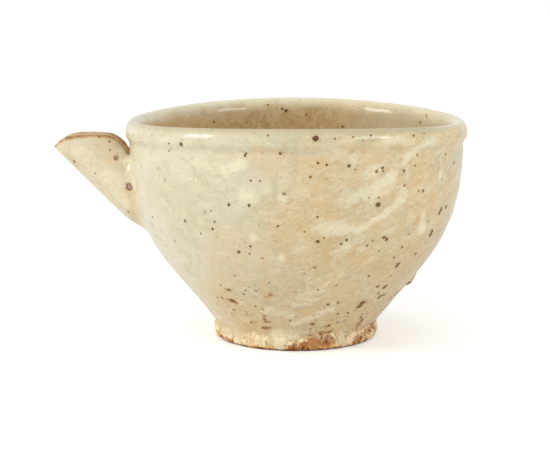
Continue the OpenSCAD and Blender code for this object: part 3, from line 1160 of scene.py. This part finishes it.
def stepped(corners, step):
    """Points this far apart on straight lines from corner to corner, without the last."""
    legs = zip(corners, corners[1:])
    return np.vstack([run(start, end, max(2, round(math.dist(start, end) / step))) for start, end in legs])


skirt_top = np.array([float(wall_r(foot_h + skirt_h)) - skirt_dip, foot_h + skirt_h])
skirt_foot = np.array([foot_r, foot_h - skirt_drop])
crease = np.array([foot_r - crease_in, foot_h - crease_drop])
skirt_pulls = [mix(end, crease, 2 / 3) for end in (skirt_foot, skirt_top)]
skirt = bezier([skirt_foot, *skirt_pulls, skirt_top], run(0, 1, skirt_points))
foot_low = stepped([
    [spigot_r, foot_h], [spigot_r + foot_draft, foot_draft], [spigot_r + 2 * foot_draft, 0],
    [foot_r - foot_bevel, 0], [foot_r - foot_bevel / 3, foot_bevel / 2], [foot_r, foot_bevel * 1.4],
    skirt_foot], foot_step)
foot_seat = stepped([skirt_top, [foot_r - 2 * foot_ledge, foot_h], [spigot_r, foot_h]], 4 * foot_step)
foot_profile = np.vstack([foot_low, skirt, foot_seat, foot_low[:1]])
print(f"Foot profile of {len(foot_profile)} points")

# %% Throw the foot ring
above_pot = 1.0
foot = profile_piece("foot_ring_turned", foot_profile, np.zeros(len(foot_profile)))
grow(foot, wheel, Steps=round_steps, Wobble=0.2 * MM, WobbleSize=9 * MM, RingPitch=10 * MM,
     GrooveHeight=above_pot, SaddleLow=above_pot, SaddleHigh=2 * above_pot, SteadyLow=(foot_h + 0.5) * MM,
     SteadyHigh=(foot_h - 2) * MM, SteadyRadius=0, Glaze=clay_foot)

# %% [markdown]
# ## Marks of the brush and the fire
# Some marks have a place of their own: strokes of cream slip, a few of them painted highlight and sheen,
# warm clouds, rust where iron ran, and the large specks. They could be painted on an image, but that needs
# a UV map on every piece. Here they are dots in space. A stroke is a row of dots, each with a radius, and a
# tree finds the nearest dot for every point of a mesh. Slip is thick, so its share also lifts the surface.
# A speck is hardly larger than a face, so each face only learns where its nearest speck is, and the shader
# draws it.

# %% From a pixel to a place on the pot
near_rim_px = (294, 134)
skin_points = []
skin_faces = []
for piece in (bowl, spout, seam, bead, foot):
    first = len(skin_points)
    skin_points += [v.co.copy() for v in piece.data.vertices]
    skin_faces += [[first + i for i in p.vertices] for p in piece.data.polygons]
skin = BVHTree.FromPolygons(skin_points, skin_faces)


def on_pot(column, row):
    """The place on the pot, in millimetres, that a pixel of the photograph shows, or the nearest to it."""
    way = Vector((column - PHOTO_W / 2, PHOTO_H / 2 - row, -focal_px))
    way.rotate(camera.rotation_euler)
    way.normalize()
    place = skin.ray_cast(camera_place, way)[0]
    if place is None:
        place = skin.find_nearest(camera_place + way * camera_place.length)[0]
    return place / MM


print("Middle of the near rim:", [round(x, 1) for x in on_pot(*near_rim_px)], "mm")

# %% Strokes
dots_a_leg = 14


def stroke(strength, *stops):
    """Dots on the pot along a line. Each stop is a pixel of the photograph and a width in millimetres."""
    step = np.linspace(0, len(stops) - 1, dots_a_leg * (len(stops) - 1) + 1)
    lines = [np.interp(step, range(len(stops)), line) for line in zip(*stops)]
    return [(*on_pot(column, row), width / 2, strength) for column, row, width in zip(*lines)]


def dots_piece(name, dots):
    """A helper of loose points: for each dot its place, its radius, and its strength or kind."""
    dots = np.array(dots)
    return piece_of(name, dots[:, :3], reach=dots[:, 3] * MM, kind=dots[:, 4])


def strokes_piece(name, strokes):
    """A helper that holds the dots of several strokes."""
    dots = [dot for line in strokes for dot in stroke(*line)]
    print(f"{name}: {len(dots)} dots in {len(strokes)} strokes")
    return dots_piece(name, dots)


# %% Strokes of slip: strength, then pixels and widths
slip_and_sheen_strokes = [
    (1.0, (392, 178, 7.6), (384, 184, 8.4), (373, 191, 8.0)),
    (0.7, (373, 191, 8.0), (358, 197, 7.0), (338, 203, 5.6)),
    (0.8, (404, 191, 5.6), (401, 199, 5.6), (391, 209, 4.8), (380, 217, 4.2), (366, 226, 4.0),
     (356, 231, 4.4)),
    (0.8, (352, 231, 6.0), (340, 230, 7.0), (322, 226, 8.4)),
    (0.8, (338, 154, 6.4), (350, 158, 7.0)),
    (0.8, (377, 168, 6.4), (369, 174, 7.6)),
    (0.7, (432, 140, 4.0), (416, 148, 5.4), (405, 160, 5.4), (408, 176, 3.6)),
    (0.8, (423, 214, 5.0), (422, 231, 6.0)),
    (0.7, (441, 160, 4.4), (440, 176, 4.4)),
    # Paler lower lip on the right: partly pale slip, partly painted sheen where the right lamp lights the
    # lip's roll.
    (0.7, (386, 140.5, 4.8), (438, 143, 4.8)),
    (0.9, (294, 324, 4.4), (307, 319, 5.4), (320, 314, 6.0), (331, 310, 5.0)),
    (0.6, (327, 279, 6.0), (340, 273, 7.0)),
    (0.9, (244, 194, 6.4), (253, 197, 6.4)),
    (1.0, (282, 199, 6.0)),
    (0.9, (254, 237, 5.2)),
    (1.0, (231, 168, 5.2), (241, 165, 6.4)),
    (0.8, (282, 257, 4.4)),
    (0.6, (196, 163, 6.4), (222, 169, 8.4)),
    (0.65, (268, 311, 8.0), (290, 314, 8.0)),
    (0.9, (280, 334, 9.0), (279, 345, 7.0)),
    (0.6, (342, 332, 6.4), (341, 342, 4.4)),
    # The keel side of the spout: partly cream slip, partly painted light thrown up from the white table.
    (0.6, (80, 155, 10), (95, 165, 14), (112, 182, 14), (126, 204, 10)),
    # A painted highlight: the window's glint in the seam's fillet below the spout's edge, which also
    # lightens the crease.
    (0.9, (121, 152, 4.0), (124, 160, 5.0)),
    (0.55, (298, 303, 14), (322, 283, 14)),
    (0.7, (268, 190, 9)),
    (0.7, (342, 249, 12)),
    (0.6, (302, 250, 12)),
    (0.6, (320, 219, 9)),
    # A painted highlight band on the lower lip, right of the middle.
    (0.5, (350, 141, 8)),
    (0.8, (287, 334, 6), (296, 335, 5)),
    (0.6, (296, 332, 5), (312, 331, 4)),
    (0.3, (220, 329, 4), (238, 333, 4)),
]
slip_dots = strokes_piece("slip_dots", slip_and_sheen_strokes)

# %% Warm clouds, and green ones with a strength below 0
blush_strokes = [
    (0.7, (306, 170, 26), (318, 190, 26), (324, 210, 26)),
    (0.7, (292, 217, 24), (292, 250, 24)),
    (0.6, (365, 166, 14), (388, 168, 14)),
    (0.6, (400, 185, 24), (428, 200, 24)),
    (0.3, (330, 250, 24), (362, 262, 22)),
    (0.6, (262, 262, 5), (266, 290, 6)),
    (0.6, (262, 150, 20), (280, 160, 20)),
    (1.0, (416, 252, 9)),
    (0.8, (128, 195, 10), (133, 210, 10)),
    (0.7, (224, 296, 20), (240, 312, 20)),
    (1.0, (266, 296, 6), (272, 295, 6)),
    (0.8, (104, 146, 12), (110, 158, 10)),
    (-0.4, (362, 244, 16), (392, 248, 18)),
    (-0.4, (446, 178, 16), (446, 215, 14)),
    (-0.4, (300, 272, 18), (318, 296, 16)),
    (-0.6, (278, 302, 14)),
    (-0.5, (160, 190, 30), (200, 215, 30)),
    (-0.5, (250, 139, 7), (330, 139, 7)),
    (-0.5, (138, 134, 5), (170, 131, 5)),
    (0.3, (222, 250, 22), (258, 252, 22)),
    (-0.3, (279, 336, 8), (279, 346, 7)),
    (0.5, (400, 280, 14), (384, 303, 12)),
    (0.4, (352, 212, 12), (372, 222, 10)),
]
blush_dots = strokes_piece("blush_dots", blush_strokes)

# %% Rust that ran
rust_strokes = [
    (0.55, (267, 296.5, 3.6), (272, 294.5, 3.6)),
    (0.8, (264, 316, 2.2), (266, 322, 2.6), (270, 322, 2.0)),
    (0.75, (263, 328.5, 2.4), (270, 327.5, 2.6)),
    (0.6, (219, 334, 2.0), (233, 342, 2.0)),
    (0.7, (358, 307, 3.2), (364, 302, 3.2)),
    (0.88, (313, 342, 7.0), (328, 340, 8.0)),
    (0.85, (291, 347, 4.0), (305, 345.5, 5.6)),
    (0.5, (244, 348, 4.0), (262, 349, 4.0)),
    (0.4, (217, 331, 4.0), (224, 340, 4.0)),
    (0.7, (355, 340, 5.0), (366, 334, 6.0), (375, 326, 5.0)),
    (0.06, (212, 300, 12), (232, 302, 12)),
    (1.0, (225, 289.5, 1.2), (231, 290.5, 2.0)),
    (1.0, (229, 299.5, 2.2), (235, 302.5, 2.8)),
    (0.5, (362, 320, 3.2), (357, 327, 3.2)),
    (0.9, (397, 292, 2.4), (390.5, 298.5, 2.4)),
    (0.8, (406, 284, 1.8), (412, 282, 1.8)),
    (0.4, (112, 135.5, 1.6), (122, 142, 2.0)),
]
rust_dots = strokes_piece("rust_dots", rust_strokes)

# %% Large specks: pixels, and how wide each is in millimetres
iron_px = [
    (181, 144.5, 1.7), (169, 143.7, 0.8), (169, 151, 0.8), (142.5, 142, 0.7), (245, 155.5, 1.1),
    (246.3, 153.5, 0.9), (250.8, 180.5, 0.8), (260, 181, 0.7), (228.8, 204.8, 1.2), (249, 205.5, 1.2),
    (211, 210.8, 0.6), (205, 212, 0.7), (152.5, 217.3, 0.9), (185, 221, 1.2), (214.5, 221.8, 0.9),
    (212.5, 229, 1.1), (200.8, 233.5, 0.7), (175, 241, 0.7), (238.8, 252, 1.5), (250.3, 246.5, 1.0),
    (249.5, 253.8, 0.8), (245.5, 290.5, 0.9), (243.8, 294.3, 1.0), (335, 139, 0.8), (413.7, 135.5, 1.0),
    (445.5, 154, 1.0), (318, 163, 1.0), (326.7, 165, 0.9), (349, 166, 1.4), (382.5, 168, 1.2),
    (415, 165.7, 0.8), (441.7, 179.5, 0.8), (418.7, 191, 0.9), (378, 204.7, 2.0), (378.7, 197.5, 0.7),
    (317.7, 241.5, 1.5), (324, 238, 0.7), (346.5, 240, 1.0), (384, 237.6, 1.5), (386.6, 239.2, 1.5),
    (367, 245.7, 0.9), (372.5, 240.7, 0.7), (379, 251, 0.6), (408.7, 234, 0.7), (430.4, 234.6, 2.4),
    (431.6, 232, 2.4), (439.6, 212.6, 2.0), (441, 209.6, 2.0), (446, 207, 2.0), (314.7, 267.7, 1.0),
    (368.7, 276, 1.1), (396.8, 266, 1.8), (398.4, 264, 1.9), (336, 285.7, 0.8), (384.3, 287.4, 1.9),
    (385.6, 286.2, 1.9), (383.7, 295, 1.6), (379, 297.5, 1.8), (359.8, 306, 2.4), (362.2, 302.6, 2.2),
    (328, 304.5, 1.4), (348, 313, 1.2), (361, 317.5, 1.5), (391, 275.7, 0.7), (128.3, 211.7, 1.0),
    (95.4, 173.4, 0.7), (109.7, 141.5, 0.9), (109.8, 150, 0.6), (282, 108.8, 1.2), (286, 110.6, 1.6),
    (214, 122, 1.0), (426, 115, 0.8), (426.6, 117, 0.8),
]
blister_px = [(129.2, 186.8, 3.2), (116, 158, 1.9)]
rust_px = [
    (280.3, 153.5, 1.2), (268, 135.5, 0.8), (278, 226, 1.0), (353, 137, 0.8), (310.5, 177, 1.0),
    (317.5, 217, 0.9), (377.5, 286.5, 1.6), (380.5, 295.5, 1.4), (415.4, 253.8, 1.5), (312.5, 324, 1.6),
    (328.7, 325.7, 1.6), (74.3, 161.4, 1.2), (99.3, 136.6, 0.9), (268, 105, 0.9), (220.8, 285, 0.9),
    (256, 291, 0.8), (232.5, 300.8, 2.4), (229, 290, 1.6), (217.5, 297.5, 0.9), (233.8, 310, 1.0),
    (251.3, 322.5, 1.2),
]
red_px = [(315.5, 138.5, 2.3)]
speck_dots = []
for speck_kind, places in ((IRON, iron_px), (BLISTER, blister_px), (RUST, rust_px), (RED, red_px)):
    speck_dots += [(*on_pot(column, row), width / 2, speck_kind) for column, row, width in places]
specks = dots_piece("specks", speck_dots)
print(f"{len(speck_dots)} specks placed by hand")

# %% Scatter specks where the photograph doesn't look
behind_fade = 10 * MM
shown_low = 66 * MM
shown_high = 70 * MM
spot_rarity = 4.0
rust_share = 0.25
reshuffle = 7

scatter, scatter_in = geometry_tree("Scatter", Bowl="Object", Density="Float", Least="Float", Most="Float",
                                    Seed="Int", Glaze="Material")
spot_y, spot_z = split(position(scatter))[1:]
spot_inner = named(scatter, "inner")
behind = spot_y.smooth(0, behind_fade)
shown_inside = spot_inner * behind * spot_z.smooth(shown_low, shown_high)
unseen = maths("GREATER_THAN", maths("MAXIMUM", spot_inner, behind) - shown_inside, 0.5)
spots = put(scatter, "GeometryNodeDistributePointsOnFaces", {
    "Mesh": shape_of(scatter_in["Bowl"]), "Selection": unseen, "Density": scatter_in["Density"],
    "Seed": scatter_in["Seed"]}, "Points")
luck = put(scatter, "FunctionNodeRandomValue", {"Seed": scatter_in["Seed"]}, 1, data_type="FLOAT")
grown = (scatter_in["Most"] - scatter_in["Least"]) * maths("POWER", luck, spot_rarity)
spot_kind = maths("GREATER_THAN", maths("FRACT", luck * reshuffle), 1 - rust_share) * RUST
spots = store(store(spots, "reach", scatter_in["Least"] + grown), "kind", spot_kind)
all_specks = put(scatter, "GeometryNodeJoinGeometry", {"Geometry": scatter_in["Geometry"]})
feed(all_specks.socket.node, {"Geometry": put(scatter, "GeometryNodePointsToVertices", {"Points": spots})})
close_tree(all_specks, scatter_in["Glaze"])
grow(specks, scatter, Bowl=bowl, Density=5000, Least=0.25 * MM, Most=1.0 * MM, Seed=4, Glaze=glazed)
print(f"{len(specks.data.vertices)} specks in all")

# %% The tree that leaves the marks
dot_core = 0.2
dot_end = 1.25


def nearest_dot(dots):
    """The place of the nearest dot, its radius, and its strength or kind."""
    tree = dots.tree
    index = put(tree, "GeometryNodeSampleNearest", {"Geometry": dots}, domain="POINT")
    place = sample(dots, position(tree), index, "FLOAT_VECTOR")
    return place, sample(dots, named(tree, "reach"), index), sample(dots, named(tree, "kind"), index)


marks, marks_in = geometry_tree("Marks", Slip="Object", Blush="Object", Rust="Object", Specks="Object",
                                SlipDepth="Float", PeelDepth="Float", PeelSize="Float", Glaze="Material")
here = position(marks)
marked = marks_in["Geometry"]
mark_shares = {}
for label in ("Slip", "Blush", "Rust"):
    dot_place, dot_r, strength = nearest_dot(shape_of(marks_in[label]))
    off_dot = vectors("DISTANCE", here, dot_place, out="Value") / dot_r
    mark_shares[label] = off_dot.smooth(dot_core, dot_end, 1, 0) * strength
    marked = store(marked, label.lower(), mark_shares[label])
speck_place, speck_r, nearest_kind = nearest_dot(shape_of(marks_in["Specks"]))
marked = store(marked, "speck_place", speck_place, "FLOAT_VECTOR", "FACE")
marked = store(marked, "speck_radius", speck_r, domain="FACE")
marked = store(marked, "speck_kind", nearest_kind, domain="FACE")

# %% Relief of the slip and the glaze
peel = (noise(here, marks_in["PeelSize"]) - 0.5) * 2 * marks_in["PeelDepth"]
swell = mark_shares["Slip"] * marks_in["SlipDepth"] + peel
outward = put(marks, "GeometryNodeInputNormal", {})
lifted = move(marked, Offset=vectors("MULTIPLY", outward, join(swell, swell, swell)))
here_x, here_y, here_z = split(here)
stood = move(lifted, Position=join(here_x, here_y, maths("MAXIMUM", here_z, 0.0)))
close_tree(stood, marks_in["Glaze"])

# %% Mark every piece: its material, and how deep and wide the orange peel of its skin is
for piece, material, peel_depth, peel_size in (
        (bowl, glazed, 0.03, 4), (spout, glazed, 0.05, 4), (seam, glazed, 0.04, 4), (bead, glazed, 0.08, 2),
        (foot, clay_foot, 0.4, 2.4)):
    grow(piece, marks, Slip=slip_dots, Blush=blush_dots, Rust=rust_dots, Specks=specks, SlipDepth=0.12 * MM,
         PeelDepth=peel_depth * MM, PeelSize=peel_size * MM, Glaze=material)
for helper in (slip_dots, blush_dots, rust_dots, specks):
    bpy.data.objects.remove(helper)

# %% [markdown]
# ## Dressing the CAD model
# Each piece stands for its CAD node and rides on the one body of the pot.

# %% Ride and replace
for piece, node, slot in ((bowl, "bowl", "glazed_stoneware"), (spout, "spout", "glazed_stoneware"),
                          (seam, "spout_seam", "glazed_stoneware"), (bead, "glaze_bead", "run_glaze"),
                          (foot, "foot_ring", "bare_stoneware")):
    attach(piece, "root")
    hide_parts(node)
